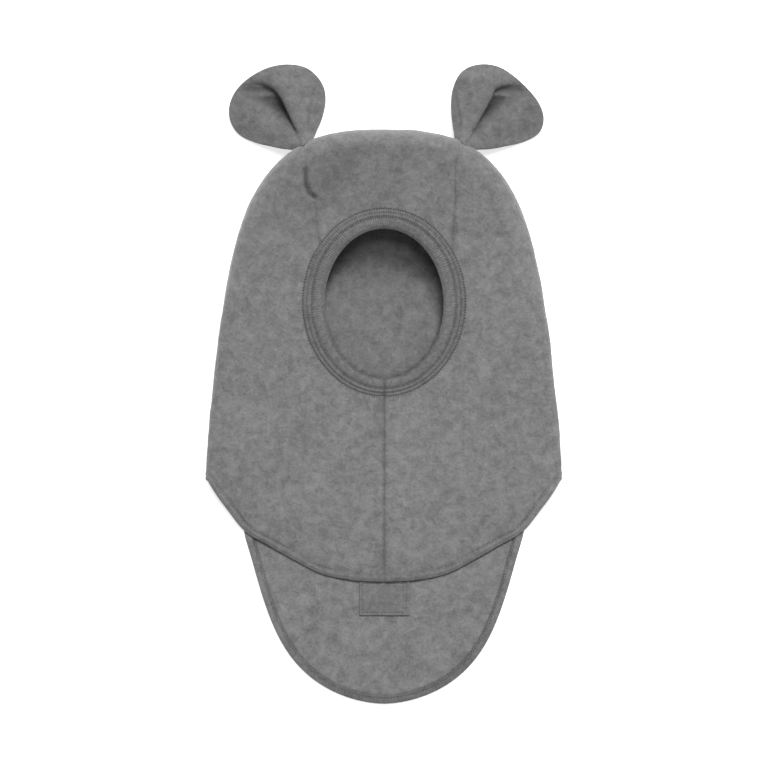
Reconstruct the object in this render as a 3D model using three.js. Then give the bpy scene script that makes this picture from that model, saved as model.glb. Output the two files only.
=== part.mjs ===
// A baby's balaclava hood with two ears, cut from felted wool fleece, lying empty on its back.
// Millimetres, +Z up. X runs across the hood, +Y runs towards its crown, and the outer face of
// its back lies on Z = 0. The hood is three panels of one cloth: a middle panel that runs from
// the face opening over the crown, down the back and into the back bib, and two side panels
// that meet in a seam under the chin. Each panel is worked out as a grid on the same puffed
// outer surface, given its wall along that surface's normal, and closed at its rims.
import * as THREE from "three";

// ---- Cloth -------------------------------------------------------------------------------
const WALL = 2.2;                 // one thickness of fleece
const SEAM_GAP = 0.4;             // left open between two panels along a seam
const HEM_WIDTH = 6.6;            // turned to the inside and stitched down
const HEM_EXTRA = 1.3;            // what the turned edge adds to the wall

// ---- Outline of the flattened hood ---------------------------------------------------------
const CROWN_Y = 188.3;            // top of the crown
const CORNER_Y = -70;             // where the side folds end, at the shoulder corners
const FOLD_BASE_Y = -120;         // the crown's rounding is reckoned from here
const FOLD_HALF_WIDTH = 132.5;    // at the corners
const FOLD_TAPER = 0.0683;        // loss of half width for each millimetre upward
const FOLD_CURVE = 0.000249;      // and for its square
const CROWN_POWER = 8;
const SIDE_POWER = 2.74;

// ---- Height of the hood, a row for each section across it -----------------------------------
// fold: height of the side fold; crest: height of the front on the centre line; fall: share of
// the crest that is lost at the fold; frontRound and backRound: how far the rounding reaches in.
const SECTIONS = [
  { y: -147, fold: 5.0, crest: 10.5, fall: 0.08, frontRound: 12, backRound: 9 },
  { y: -110, fold: 5.2, crest: 11.5, fall: 0.10, frontRound: 12, backRound: 9 },
  { y: -70, fold: 5.6, crest: 13.0, fall: 0.12, frontRound: 13, backRound: 9 },
  { y: -10, fold: 7.5, crest: 16.0, fall: 0.02, frontRound: 16, backRound: 11 },
  { y: 60, fold: 10.0, crest: 26.0, fall: 0.12, frontRound: 20, backRound: 14 },
  { y: 120, fold: 13.0, crest: 36.0, fall: 0.20, frontRound: 20, backRound: 17 },
  { y: 160, fold: 16.5, crest: 43.5, fall: 0.22, frontRound: 17, backRound: 19 },
  { y: 190, fold: 20.0, crest: 48.0, fall: 0.20, frontRound: 15, backRound: 20 },
];

// ---- Seams ---------------------------------------------------------------------------------
// Distance of the crown seams from the centre line, from the face band up to the crown's fold.
const CROWN_SEAM = [
  { y: 96, left: 46.4, right: 50.6 },
  { y: 116, left: 49.7, right: 51.1 },
  { y: 137, left: 52.0, right: 52.6 },
  { y: 146, left: 55.9, right: 52.3 },
  { y: 158, left: 57.5, right: 52.8 },
  { y: 170, left: 58.5, right: 54.8 },
  { y: 179, left: 59.4, right: 57.5 },
];
const BACK_SEAM_END_Y = -107.5;   // where the back seams reach the hem, at the bib's shoulders
const BACK_SEAM_POWER = 1.6;      // how late the back seams spread out

// ---- Bibs ----------------------------------------------------------------------------------
// Lower edge of the front bib, from its middle to the shoulder corner.
const FRONT_HEM = [
  { x: 0, y: -146.6 },
  { x: 22, y: -145.6 },
  { x: 45.8, y: -140.8 },
  { x: 66, y: -130.6 },
  { x: 86, y: -119.2 },
  { x: 103, y: -109.0 },
  { x: 116.5, y: -92.2 },
  { x: 133.2, y: -70 },
];
const BACK_HEM_INSET = 0.8;       // the hem behind the shoulder corner keeps inside the front one
const BIB_BOTTOM_Y = -237.0;
const BIB_TOP_Y = -60;            // the bib's rounding is reckoned from here
const BIB_HALF_WIDTH = 103.6;     // at BIB_WIDTH_Y
const BIB_WIDTH_Y = -109;
const BIB_TAPER = 0.2627;
const BIB_POWER = 6.94;
const BIB_ROUND_POWER = 1.804;
const BIB_END = 0.1;              // the last row stops this short of the bottom, where it is flat

// ---- Face band -----------------------------------------------------------------------------
const BAND_OUTER = { y: 59.9, halfWidth: 60.2, halfHeight: 69.1 };
const BAND_INNER = { y: 59.2, halfWidth: 43.9, halfHeight: 55.1 };
const BAND_STEPS = 56;
// Section of the folded rib band: in is 0 at the hood's cut edge and 1 at the opening, and up is
// the height over the hood's outer face.
const BAND_SECTION = [
  { in: 0.02, up: 0.4 },
  { in: 0.1, up: 1.0 },
  { in: 0.35, up: 0.6 },
  { in: 0.6, up: 0.8 },
  { in: 0.85, up: 0.0 },
  { in: 0.97, up: -1.0 },
  { in: 1.0, up: -1.9 },
  { in: 0.95, up: -3.0 },
  { in: 0.5, up: -3.2 },
  { in: 0.02, up: -2.3 },
];

// ---- Ears ----------------------------------------------------------------------------------
const EAR_PLY = 1.9;              // each of the two plies
const EAR_BASE = { x: 60.3, y: 177.6 };
const EAR_NECK_REACH = 5.8;       // half the width of the neck in the crown seam
const EAR_NECK_OUT = 1.2;         // the neck starts this far outside the crown's fold
const EAR_CREASE_BEARING = { left: 27, right: 32 };
// Reach of the ear's edge from its base, at each bearing in degrees outward from +Y.
const EAR_EDGE = [
  { bearing: -66, left: 8.3, right: 8.6 },
  { bearing: -45, left: 14.8, right: 12.1 },
  { bearing: -35, left: 25.5, right: 15.9 },
  { bearing: -27, left: 37.0, right: 21.6 },
  { bearing: -20, left: 45.0, right: 30.0 },
  { bearing: -12, left: 51.2, right: 42.5 },
  { bearing: -3, left: 56.4, right: 53.3 },
  { bearing: 8, left: 59.6, right: 59.3 },
  { bearing: 22, left: 61.9, right: 62.3 },
  { bearing: 36, left: 63.0, right: 61.9 },
  { bearing: 50, left: 63.5, right: 61.9 },
  { bearing: 61, left: 61.7, right: 62.4 },
  { bearing: 70, left: 57.5, right: 61.6 },
  { bearing: 77, left: 52.0, right: 58.6 },
  { bearing: 82, left: 45.8, right: 53.7 },
  { bearing: 87, left: 35.5, right: 43.0 },
  { bearing: 93, left: 23.6, right: 28.0 },
  { bearing: 105, left: 13.6, right: 14.4 },
  { bearing: 118, left: 8.8, right: 8.6 },
];
// Form of the cupped ear along its crease: spine is the height of the crease over the ground,
// cup is how much higher the lobes stand beside it, and spread is how fast they rise.
const EAR_FORM = [
  { along: 0, spine: 13.5, cup: 5.5, spread: 4.0 },
  { along: 14, spine: 7.0, cup: 8.5, spread: 5.0 },
  { along: 30, spine: 1.6, cup: 11.5, spread: 6.5 },
  { along: 46, spine: 1.6, cup: 9.0, spread: 9.0 },
  { along: 66, spine: 1.2, cup: 2.5, spread: 14.0 },
];
const EAR_EDGE_SINK = 6.5;        // the lobes' outer edges sink back by this much
const EAR_HALF_SPAN = 36;         // at this distance from the crease
const EAR_LOWEST = 0.4;           // nothing of an ear is nearer the ground

// ---- Patch on the back bib -----------------------------------------------------------------
const PATCH = { left: -18.4, right: 19.0, top: -145.4, bottom: -171.6, thickness: 1.4 };
const REST_GAP = 0.3;             // between the patch and the bib that it is sewn to

// ---- Curves through tables -----------------------------------------------------------------
// Cubic curve through a table's rows: passes every row, with each row's slope taken from its
// two neighbours.
function curve(table, over, column, at) {
  const last = table.length - 1;
  const x = THREE.MathUtils.clamp(at, table[0][over], table[last][over]);
  let i = 0;
  while (i < last - 1 && x > table[i + 1][over]) i += 1;
  const slope = (k) => {
    const lo = table[Math.max(k - 1, 0)];
    const hi = table[Math.min(k + 1, last)];
    return (hi[column] - lo[column]) / (hi[over] - lo[over]);
  };
  const span = table[i + 1][over] - table[i][over];
  const t = (x - table[i][over]) / span;
  const a = table[i][column];
  const b = table[i + 1][column];
  return a * (1 + 2 * t) * (1 - t) ** 2 + b * t * t * (3 - 2 * t)
    + slope(i) * span * t * (1 - t) ** 2 - slope(i + 1) * span * t * t * (1 - t);
}

const { lerp, smoothstep, degToRad } = THREE.MathUtils;
const section = (name, y) => curve(SECTIONS, "y", name, y);
const seamX = (side, y) => curve(CROWN_SEAM, "y", side, y);
const frontHemY = (x) => curve(FRONT_HEM, "x", "y", Math.abs(x));

// Value that maps to itself: where two curves cross, found by going back and forth.
function settle(start, next) {
  let value = start;
  for (let i = 0; i < 12; i += 1) value = next(value);
  return value;
}

// ---- Outlines ------------------------------------------------------------------------------
// Half width that the fold line would have without the crown's rounding.
function openHalfWidth(y) {
  const up = Math.max(y, CORNER_Y) - CORNER_Y;
  return FOLD_HALF_WIDTH - FOLD_TAPER * up - FOLD_CURVE * up * up;
}
const crownShare = (y) => {
  const t = (y - FOLD_BASE_Y) / (CROWN_Y - FOLD_BASE_Y);
  return Math.max(t, 0);
};
// Fold line: (x / openHalfWidth) ^ SIDE_POWER + crownShare ^ CROWN_POWER = 1.
const foldX = (y) => openHalfWidth(y)
  * Math.max(1 - crownShare(Math.max(y, CORNER_Y)) ** CROWN_POWER, 0) ** (1 / SIDE_POWER);
const foldTopY = (x) => settle(CROWN_Y, (y) => {
  const rest = 1 - (Math.abs(x) / openHalfWidth(y)) ** SIDE_POWER;
  return lerp(FOLD_BASE_Y, CROWN_Y, rest ** (1 / CROWN_POWER));
});
const bibHalfWidth = (y) => {
  const t = Math.max((BIB_TOP_Y - y) / (BIB_TOP_Y - BIB_BOTTOM_Y), 0);
  return (BIB_HALF_WIDTH + BIB_TAPER * (y - BIB_WIDTH_Y))
    * Math.max(1 - t ** BIB_POWER, 0) ** (1 / BIB_ROUND_POWER);
};
const bandTopY = (x) => BAND_OUTER.y
  + BAND_OUTER.halfHeight * Math.sqrt(Math.max(1 - (x / BAND_OUTER.halfWidth) ** 2, 0));

// Back seam: leaves the crown seam at the fold and spreads to the bib's shoulder.
function backSeamX(side, y) {
  const crown = seamCrown(side);
  const down = THREE.MathUtils.clamp((crown.y - y) / (crown.y - BACK_SEAM_END_Y), 0, 1);
  return lerp(crown.x, bibHalfWidth(BACK_SEAM_END_Y), down ** BACK_SEAM_POWER);
}
// The points where a crown seam meets the crown's fold and the face band.
function seamCrown(side) {
  const y = settle(CROWN_Y, (at) => foldTopY(seamX(side, at)));
  return { x: seamX(side, y), y };
}
function seamBand(side) {
  const y = settle(BAND_OUTER.y, (at) => bandTopY(seamX(side, at)));
  return { x: seamX(side, y), y };
}

// ---- The hood's outer surface ---------------------------------------------------------------
// How far a point lies inside the fold line: the outline's own formula divided by its slope.
function insideFold(x, y) {
  const reach = (px, py) => 1 - (Math.abs(px) / openHalfWidth(py)) ** SIDE_POWER
    - crownShare(Math.max(py, CORNER_Y)) ** CROWN_POWER;
  const step = 0.05;
  const slopeX = (reach(x + step, y) - reach(x - step, y)) / (2 * step);
  const slopeY = (reach(x, y + step) - reach(x, y - step)) / (2 * step);
  return Math.max(reach(x, y), 0) / Math.max(Math.hypot(slopeX, slopeY), 1e-6);
}
// Height of the front before its rounding towards the fold.
function crestHeight(x, y) {
  const across = Math.min(Math.abs(x) / openHalfWidth(y), 1);
  return section("crest", y) * (1 - section("fall", y) * across ** 2);
}
// Point of the outer surface over (x, y), on the front or the back, with its outward normal.
// Both faces are quarter ellipses from the fold line inward, and level beyond the rounding.
function hoodSurface(x, y, face) {
  const fold = section("fold", y);
  const round = section(face === "front" ? "frontRound" : "backRound", y);
  const share = (px, py) => Math.min(insideFold(px, py) / round, 1);
  const t = share(x, y);
  const rise = Math.sqrt(1 - (1 - t) ** 2);
  const step = 0.05;
  const toward = new THREE.Vector2(
    (share(x + step, y) - share(x - step, y)) / (2 * step),
    (share(x, y + step) - share(x, y - step)) / (2 * step),
  );
  const crest = crestHeight(x, y);
  const crestX = (crestHeight(x + step, y) - crestHeight(x - step, y)) / (2 * step);
  const crestY = (crestHeight(x, y + step) - crestHeight(x, y - step)) / (2 * step);
  const depth = face === "front" ? crest - fold : -fold;
  const point = new THREE.Vector3(x, y, fold + depth * rise);
  const normal = face === "front"
    ? new THREE.Vector3(
      -(crestX * rise * rise + depth * (1 - t) * toward.x),
      -(crestY * rise * rise + depth * (1 - t) * toward.y),
      rise,
    )
    : new THREE.Vector3(depth * (1 - t) * toward.x, depth * (1 - t) * toward.y, -rise);
  if (face === "back" && t >= 1) point.z = 0;
  return { point, normal: normal.normalize() };
}

// Extra wall of the turned hem, from the distance to the free edge.
const hemExtra = (distance) => HEM_EXTRA
  * (1 - smoothstep(distance, HEM_WIDTH - 1.5, HEM_WIDTH + 0.5));

// ---- Meshes from grids -----------------------------------------------------------------------
function meshGeometry(points, triangles) {
  const geometry = new THREE.BufferGeometry();
  geometry.setAttribute("position", new THREE.Float32BufferAttribute(points.flatMap((p) => p.toArray()), 3));
  const volume = triangles.reduce((sum, [a, b, c]) => (
    sum + points[a].dot(new THREE.Vector3().crossVectors(points[b], points[c]))), 0);
  const outward = volume > 0 ? triangles : triangles.map(([a, b, c]) => [a, c, b]);
  geometry.setIndex(outward.flat());
  geometry.computeVertexNormals();
  return geometry;
}

// A closed wall between an outer and an inner grid of the same size, joined round the rim.
function wallBetween(outer, inner) {
  const rows = outer.length;
  const columns = outer[0].length;
  const points = [...outer.flat(), ...inner.flat()];
  const out = (i, j) => i * columns + j;
  const inn = (i, j) => rows * columns + i * columns + j;
  const triangles = [];
  const quad = (a, b, c, d) => triangles.push([a, b, c], [a, c, d]);
  for (let i = 0; i < rows - 1; i += 1) {
    for (let j = 0; j < columns - 1; j += 1) {
      quad(out(i, j), out(i, j + 1), out(i + 1, j + 1), out(i + 1, j));
      quad(inn(i, j), inn(i + 1, j), inn(i + 1, j + 1), inn(i, j + 1));
    }
    quad(out(i, 0), out(i + 1, 0), inn(i + 1, 0), inn(i, 0));
    quad(out(i, columns - 1), inn(i, columns - 1), inn(i + 1, columns - 1), out(i + 1, columns - 1));
  }
  for (let j = 0; j < columns - 1; j += 1) {
    quad(out(0, j), inn(0, j), inn(0, j + 1), out(0, j + 1));
    quad(out(rows - 1, j), out(rows - 1, j + 1), inn(rows - 1, j + 1), inn(rows - 1, j));
  }
  return meshGeometry(points, triangles);
}

// A ring whose closed section is carried round a closed path.
function ringOf(stations) {
  const around = stations.length;
  const sides = stations[0].length;
  const triangles = [];
  const at = (i, j) => (i % around) * sides + (j % sides);
  for (let i = 0; i < around; i += 1) {
    for (let j = 0; j < sides; j += 1) {
      triangles.push([at(i, j), at(i, j + 1), at(i + 1, j + 1)]);
      triangles.push([at(i, j), at(i + 1, j + 1), at(i + 1, j)]);
    }
  }
  return meshGeometry(stations.flat(), triangles);
}

// Wall of a hood panel from rows of places { x, y, face, edge }, edge being the distance to the
// free edge that is hemmed.
function panelGeometry(rows) {
  const outer = rows.map((row) => row.map((place) => hoodSurface(place.x, place.y, place.face)));
  const inner = rows.map((row, i) => row.map((place, j) => {
    const { point, normal } = outer[i][j];
    return point.clone().addScaledVector(normal, -(WALL + hemExtra(place.edge)));
  }));
  return wallBetween(outer.map((row) => row.map(({ point }) => point)), inner);
}

// Even steps from 0 to 1.
const steps = (count) => Array.from({ length: count + 1 }, (_, i) => i / count);

// ---- Side panels -----------------------------------------------------------------------------
const SIDE_FRONT_STEPS = 9;
const SIDE_BACK_STEPS = 6;
const BIB_ROWS = [0, 0.025, 0.05, 0.1, 0.25, 0.42, 0.6, 0.8, 1];
const OPENING_STEPS = 15;
const SEAM_STEPS = 8;
const SIDE_TOP_GAP = 1.2;         // the panel's pointed top stops short of the crown seam's end

// Rows of places from the hem upward. Each row starts on the front, at the chin seam, the face
// band or the crown seam, goes round the side fold, and ends at the back seam.
function sidePanel(side) {
  const mirror = side === "left" ? -1 : 1;
  const chinY = BAND_OUTER.y - BAND_OUTER.halfHeight;
  const band = seamBand(side);
  const crown = seamCrown(side);
  const place = (x, y, face, edge) => ({ x: mirror * x, y, face, edge });
  const quarter = (count) => steps(count).map((t) => t * Math.PI / 2);

  function row(startX, frontY, backY) {
    const front = quarter(SIDE_FRONT_STEPS).map((turn) => {
      const reach = Math.sin(turn);
      const y = frontY(reach);
      const x = lerp(startX, foldX(y), reach);
      return place(x, y, "front", Math.abs(y - frontHemY(x)) * 0.8);
    });
    const back = quarter(SIDE_BACK_STEPS).slice(1).map((turn) => {
      const reach = 1 - Math.cos(turn);
      const y = backY(reach);
      const x = lerp(foldX(y), backSeamX(side, y) + SEAM_GAP / 2, reach);
      return place(x, y, "back", Math.abs(y - frontHemY(x)) * 0.8);
    });
    return [...front, ...back];
  }

  const cornerX = foldX(CORNER_Y);
  const bibRows = BIB_ROWS.map((up) => row(
    SEAM_GAP / 2,
    (reach) => lerp(frontHemY(reach * cornerX), chinY, up),
    (reach) => {
      const x = lerp(cornerX, bibHalfWidth(BACK_SEAM_END_Y), reach);
      return lerp(frontHemY(x) + BACK_HEM_INSET * reach, chinY, up);
    },
  ));
  const openingTop = Math.acos((BAND_OUTER.y - band.y) / BAND_OUTER.halfHeight);
  const openingRows = steps(OPENING_STEPS).slice(1).map((t) => {
    const turn = t * openingTop;
    const y = BAND_OUTER.y - BAND_OUTER.halfHeight * Math.cos(turn);
    const x = BAND_OUTER.halfWidth * Math.sin(turn) + SEAM_GAP / 2;
    return row(x, () => y, () => y);
  });
  const seamRows = steps(SEAM_STEPS).slice(1).map((t) => {
    const y = lerp(band.y, crown.y - SIDE_TOP_GAP, Math.sin(t * Math.PI / 2));
    return row(seamX(side, y) + SEAM_GAP / 2, () => y, () => y);
  });
  return panelGeometry([...bibRows, ...openingRows, ...seamRows]);
}

// ---- Middle panel ----------------------------------------------------------------------------
const MIDDLE_COLUMNS = 18;
const FOREHEAD_ROWS = 9;
const CROWN_BACK_ROWS = 7;
const BACK_ROWS = 7;
const BACK_BIB_ROWS = 11;
const STRAIGHT_ROW_Y = 110;       // below this the rows on the back run straight across

// Rows of places from the face band up the forehead, over the crown's fold, down the back and
// out to the bottom of the back bib. Columns lie closer together towards the seams.
function middlePanel() {
  const across = steps(MIDDLE_COLUMNS).map((t) => Math.sin((t - 0.5) * Math.PI));
  const spread = (leftX, rightX, u) => (u < 0 ? u * leftX : u * rightX);

  function row(seamAt, yAt, face, edgeAt) {
    const left = seamAt("left") - SEAM_GAP / 2;
    const right = seamAt("right") - SEAM_GAP / 2;
    return across.map((u) => {
      const x = spread(left, right, u);
      const y = yAt(x);
      return { x, y, face, edge: edgeAt(x, y) };
    });
  }
  const noHem = () => 2 * HEM_WIDTH;
  const bibEdge = (x, y) => Math.min(
    (bibHalfWidth(y) - Math.abs(x)) * (y < BACK_SEAM_END_Y ? 0.9 : 10),
    y - BIB_BOTTOM_Y,
  );

  const forehead = steps(FOREHEAD_ROWS).map((t) => {
    const reach = Math.sin(t * Math.PI / 2);
    const yAt = (x) => lerp(bandTopY(x) + SEAM_GAP / 2, foldTopY(x), reach);
    const seamAt = (side) => settle(seamBand(side).x, (x) => seamX(side, yAt(x)));
    return row(seamAt, yAt, "front", noHem);
  });
  const crownBack = steps(CROWN_BACK_ROWS).slice(1).map((t) => {
    const reach = Math.cos(t * Math.PI / 2);
    const yAt = (x) => lerp(STRAIGHT_ROW_Y, foldTopY(x), reach);
    const seamAt = (side) => settle(seamCrown(side).x, (x) => backSeamX(side, yAt(x)));
    return row(seamAt, yAt, "back", noHem);
  });
  const back = steps(BACK_ROWS).slice(1).map((t) => {
    const y = lerp(STRAIGHT_ROW_Y, BACK_SEAM_END_Y, t);
    return row((side) => backSeamX(side, y), () => y, "back", noHem);
  });
  const bib = steps(BACK_BIB_ROWS).slice(1).map((t) => {
    const y = lerp(BACK_SEAM_END_Y, BIB_BOTTOM_Y + BIB_END, Math.sin(t * Math.PI / 2));
    return row(() => bibHalfWidth(y), () => y, "back", bibEdge);
  });
  return panelGeometry([...forehead, ...crownBack, ...back, ...bib]);
}

// ---- Face band -------------------------------------------------------------------------------
// The folded rib band lies on the hood's own front surface, carried on over the opening's edge.
function faceBand() {
  const stations = Array.from({ length: BAND_STEPS }, (_, i) => {
    const turn = i * 2 * Math.PI / BAND_STEPS;
    return BAND_SECTION.map((corner) => {
      const halfWidth = lerp(BAND_OUTER.halfWidth - SEAM_GAP, BAND_INNER.halfWidth, corner.in);
      const halfHeight = lerp(BAND_OUTER.halfHeight - SEAM_GAP, BAND_INNER.halfHeight, corner.in);
      const middleY = lerp(BAND_OUTER.y, BAND_INNER.y, corner.in);
      const x = halfWidth * Math.cos(turn);
      const y = middleY + halfHeight * Math.sin(turn);
      return new THREE.Vector3(x, y, crestHeight(x, y) + corner.up);
    });
  });
  return ringOf(stations);
}

// ---- Ears ------------------------------------------------------------------------------------
const EAR_COLUMNS = 16;
const EAR_ROWS = 6;

// Height of the ear's underside: low along the crease, rising to a lobe on either side of it.
function earHeight(side, outward, up) {
  const bearing = degToRad(EAR_CREASE_BEARING[side]);
  const along = outward * Math.sin(bearing) + up * Math.cos(bearing);
  const beside = outward * Math.cos(bearing) - up * Math.sin(bearing);
  const form = (name) => curve(EAR_FORM, "along", name, along);
  const lean = (beside / form("spread")) ** 2;
  const lobe = form("cup") * lean / (1 + lean);
  const sink = EAR_EDGE_SINK * (beside / EAR_HALF_SPAN) ** 2;
  return Math.max(form("spine") + lobe - sink, EAR_LOWEST);
}

// One ply of an ear: a fan from its neck to its edge, lifted off the underside by its level.
function earPly(side, level) {
  const mirror = side === "left" ? -1 : 1;
  const first = EAR_EDGE[0].bearing;
  const last = EAR_EDGE[EAR_EDGE.length - 1].bearing;
  const middle = degToRad((first + last) / 2);
  const fan = steps(EAR_COLUMNS).map((t) => {
    const bearing = lerp(first, last, t);
    const reach = curve(EAR_EDGE, "bearing", side, bearing);
    const neckOffset = lerp(-EAR_NECK_REACH, EAR_NECK_REACH, t);
    return {
      neck: new THREE.Vector2(
        neckOffset * Math.cos(middle) + EAR_NECK_OUT * Math.sin(middle),
        -neckOffset * Math.sin(middle) + EAR_NECK_OUT * Math.cos(middle),
      ),
      edge: new THREE.Vector2(Math.sin(degToRad(bearing)), Math.cos(degToRad(bearing)))
        .multiplyScalar(reach),
    };
  });
  const surface = (outward, up, lift) => {
    const step = 0.05;
    const slopeOut = (earHeight(side, outward + step, up) - earHeight(side, outward - step, up)) / (2 * step);
    const slopeUp = (earHeight(side, outward, up + step) - earHeight(side, outward, up - step)) / (2 * step);
    const normal = new THREE.Vector3(-mirror * slopeOut, -slopeUp, 1).normalize();
    const x = mirror * (EAR_BASE.x + outward);
    return new THREE.Vector3(x, EAR_BASE.y + up, earHeight(side, outward, up))
      .addScaledVector(normal, lift);
  };
  const grid = (lift) => steps(EAR_ROWS).map((t) => fan.map(({ neck, edge }) => {
    const at = neck.clone().lerp(edge, t);
    return surface(at.x, at.y, lift);
  }));
  const bottom = level * (EAR_PLY + REST_GAP);
  return wallBetween(grid(bottom + EAR_PLY), grid(bottom));
}

// ---- Patch -----------------------------------------------------------------------------------
function patchGeometry() {
  const width = PATCH.right - PATCH.left;
  const height = PATCH.top - PATCH.bottom;
  const geometry = new THREE.BoxGeometry(width, height, PATCH.thickness);
  geometry.translate(
    (PATCH.left + PATCH.right) / 2,
    (PATCH.top + PATCH.bottom) / 2,
    WALL + REST_GAP + PATCH.thickness / 2,
  );
  return geometry;
}

// ---- Assembly --------------------------------------------------------------------------------
const fleece = (color) => new THREE.MeshStandardMaterial({ color, roughness: 0.95, metalness: 0 });

function piece(name, geometry, color) {
  const mesh = new THREE.Mesh(geometry, fleece(color));
  mesh.name = name;
  return mesh;
}

const hood = new THREE.Group();
hood.add(piece("middle_panel", middlePanel(), 0x838383));
hood.add(piece("face_band", faceBand(), 0x7a7a7a));
hood.add(piece("label_patch", patchGeometry(), 0x7d7d7d));
for (const side of ["left", "right"]) {
  hood.add(piece(`side_panel_${side}`, sidePanel(side), 0x858585));
  hood.add(piece(`ear_${side}_back`, earPly(side, 0), 0x808080));
  hood.add(piece(`ear_${side}_front`, earPly(side, 1), 0x858585));
}

export default hood;
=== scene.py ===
# %% [markdown]
# # A baby's balaclava hood with two ears, in felted wool fleece
# The real thing is three panels of thick grey fleece sewn into a hood: a middle panel from the
# brow over the crown to the long back bib, and two side panels that meet under the chin. It
# lies empty on its back. The frame holds its true size, and everything here is worked out in
# millimetres in that frame.

# %% Load the frame and keep its box
import math

import bpy
import numpy as np
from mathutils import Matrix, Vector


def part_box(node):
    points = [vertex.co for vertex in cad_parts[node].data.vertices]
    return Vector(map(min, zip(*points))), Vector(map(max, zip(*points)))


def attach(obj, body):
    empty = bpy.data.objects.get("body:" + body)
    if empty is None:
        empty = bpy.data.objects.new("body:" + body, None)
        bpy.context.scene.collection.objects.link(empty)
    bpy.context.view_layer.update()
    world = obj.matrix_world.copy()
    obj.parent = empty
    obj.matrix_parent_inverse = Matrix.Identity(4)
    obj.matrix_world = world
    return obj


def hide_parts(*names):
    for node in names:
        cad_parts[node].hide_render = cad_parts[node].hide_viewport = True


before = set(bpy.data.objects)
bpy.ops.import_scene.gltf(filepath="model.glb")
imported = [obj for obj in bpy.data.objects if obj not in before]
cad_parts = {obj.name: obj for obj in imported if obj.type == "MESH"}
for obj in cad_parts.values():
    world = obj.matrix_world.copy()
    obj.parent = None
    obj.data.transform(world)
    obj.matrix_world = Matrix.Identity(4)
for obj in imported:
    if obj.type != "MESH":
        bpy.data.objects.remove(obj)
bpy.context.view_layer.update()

MM = 0.001

# %% [markdown]
# ## Camera
# The hood is seen from straight above. A long lens far away keeps the outline true to size,
# because the brow stands some 40 mm nearer to the lens than the hems. An orthographic camera
# would do that too, but a long lens still shows a little of the sides.

# %% Camera straight above the hood
VIEW_WIDTH = 568.3 * MM          # what the picture spans at the height of the side folds
FOLD_LEVEL = 9 * MM
CAMERA_RISE = 5.0
SENSOR = 36.0

camera_data = bpy.data.cameras.new("camera_above")
camera_data.sensor_width = SENSOR
camera_data.lens = SENSOR * (CAMERA_RISE - FOLD_LEVEL) / VIEW_WIDTH
camera_data.clip_end = 20
camera = bpy.data.objects.new("camera_above", camera_data)
camera.location = (0.0, 0.0, CAMERA_RISE)
bpy.context.scene.collection.objects.link(camera)
bpy.context.scene.camera = camera
print("lens, mm:", round(camera_data.lens, 1))

# %% [markdown]
# ## Floor and light
# The floor is matt white card that glows a little, as on a light table, so that almost no
# shadow lies round the hood. One big soft light stands towards the crown, high up, so the
# brow's edge throws its shadow into the face opening, and a pale sky all round fills in the
# rest. Small lamps would draw hard edges that cloth on white card never shows.

# %% Floor, sky and soft lights
FLOOR_SIZE = 14.0
CARD_GLOW = 0.60
SKY_STRENGTH = 0.34


def linear(code):
    """sRGB hex code as linear red, green, blue and alpha."""
    channels = [int(code[i:i + 2], 16) / 255 for i in (1, 3, 5)]
    return [c / 12.92 if c <= 0.04045 else ((c + 0.055) / 1.055) ** 2.4 for c in channels] + [1.0]


def material(name):
    """An empty material with its shader and output, ready for more nodes."""
    made = bpy.data.materials.new(name)
    made.use_nodes = True
    return made, made.node_tree.nodes["Principled BSDF"]


def add_node(tree, kind, settings=None, links=None):
    """Adds one node: settings are its attributes or socket values, links feed its sockets."""
    node = tree.nodes.new(kind)
    for key, value in (settings or {}).items():
        if isinstance(key, str) and hasattr(node, key):
            setattr(node, key, value)
        else:
            node.inputs[key].default_value = value
    for key, source in (links or {}).items():
        tree.links.new(source, node.inputs[key])
    return node


def set_inputs(node, values):
    """Sets a node's sockets by name."""
    for name, value in values.items():
        node.inputs[name].default_value = value


card, card_shader = material("white card, matt")
set_inputs(card_shader, {"Base Color": linear("#f4f4f4"), "Emission Color": linear("#ffffff"),
                         "Emission Strength": CARD_GLOW, "Roughness": 0.9, "Specular IOR Level": 0.1})
half = FLOOR_SIZE / 2
floor_mesh = bpy.data.meshes.new("floor")
corners = [(-half, -half, 0), (half, -half, 0), (half, half, 0), (-half, half, 0)]
floor_mesh.from_pydata(corners, [], [(0, 1, 2, 3)])
floor_mesh.materials.append(card)
floor = bpy.data.objects.new("floor", floor_mesh)
bpy.context.scene.collection.objects.link(floor)

sky = bpy.data.worlds.new("pale studio")
sky.use_nodes = True
set_inputs(sky.node_tree.nodes["Background"], {"Color": linear("#ffffff"), "Strength": SKY_STRENGTH})
bpy.context.scene.world = sky
bpy.context.scene.view_settings.view_transform = "Standard"


def soft_light(name, place, aim, size, power):
    """A square area light at place, turned towards aim."""
    data = bpy.data.lights.new(name, "AREA")
    data.shape = "SQUARE"
    data.size = size
    data.energy = power
    lamp = bpy.data.objects.new(name, data)
    lamp.location = place
    way = np.subtract(aim, place)
    flat = math.hypot(way[0], way[1])
    lamp.rotation_euler = (math.atan2(flat, -way[2]), 0, math.atan2(-way[0], way[1]))
    bpy.context.scene.collection.objects.link(lamp)
    return lamp


soft_light("softbox_high", (0.3, 1.8, 5.2), (0, 0, 0), 1.3, 110)
soft_light("softbox_crown", (0.9, 3.8, 5.2), (0, 0, 0), 1.7, 340)

# %% [markdown]
# ## Curves through short tables
# The hood's height, its seams and its hems are each given by a few rows of a table. A cubic
# curve passes through the rows with slopes taken from the neighbours, so a handful of sizes
# makes a smooth form, and the same formula gives the same shape in the solid model.

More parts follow.
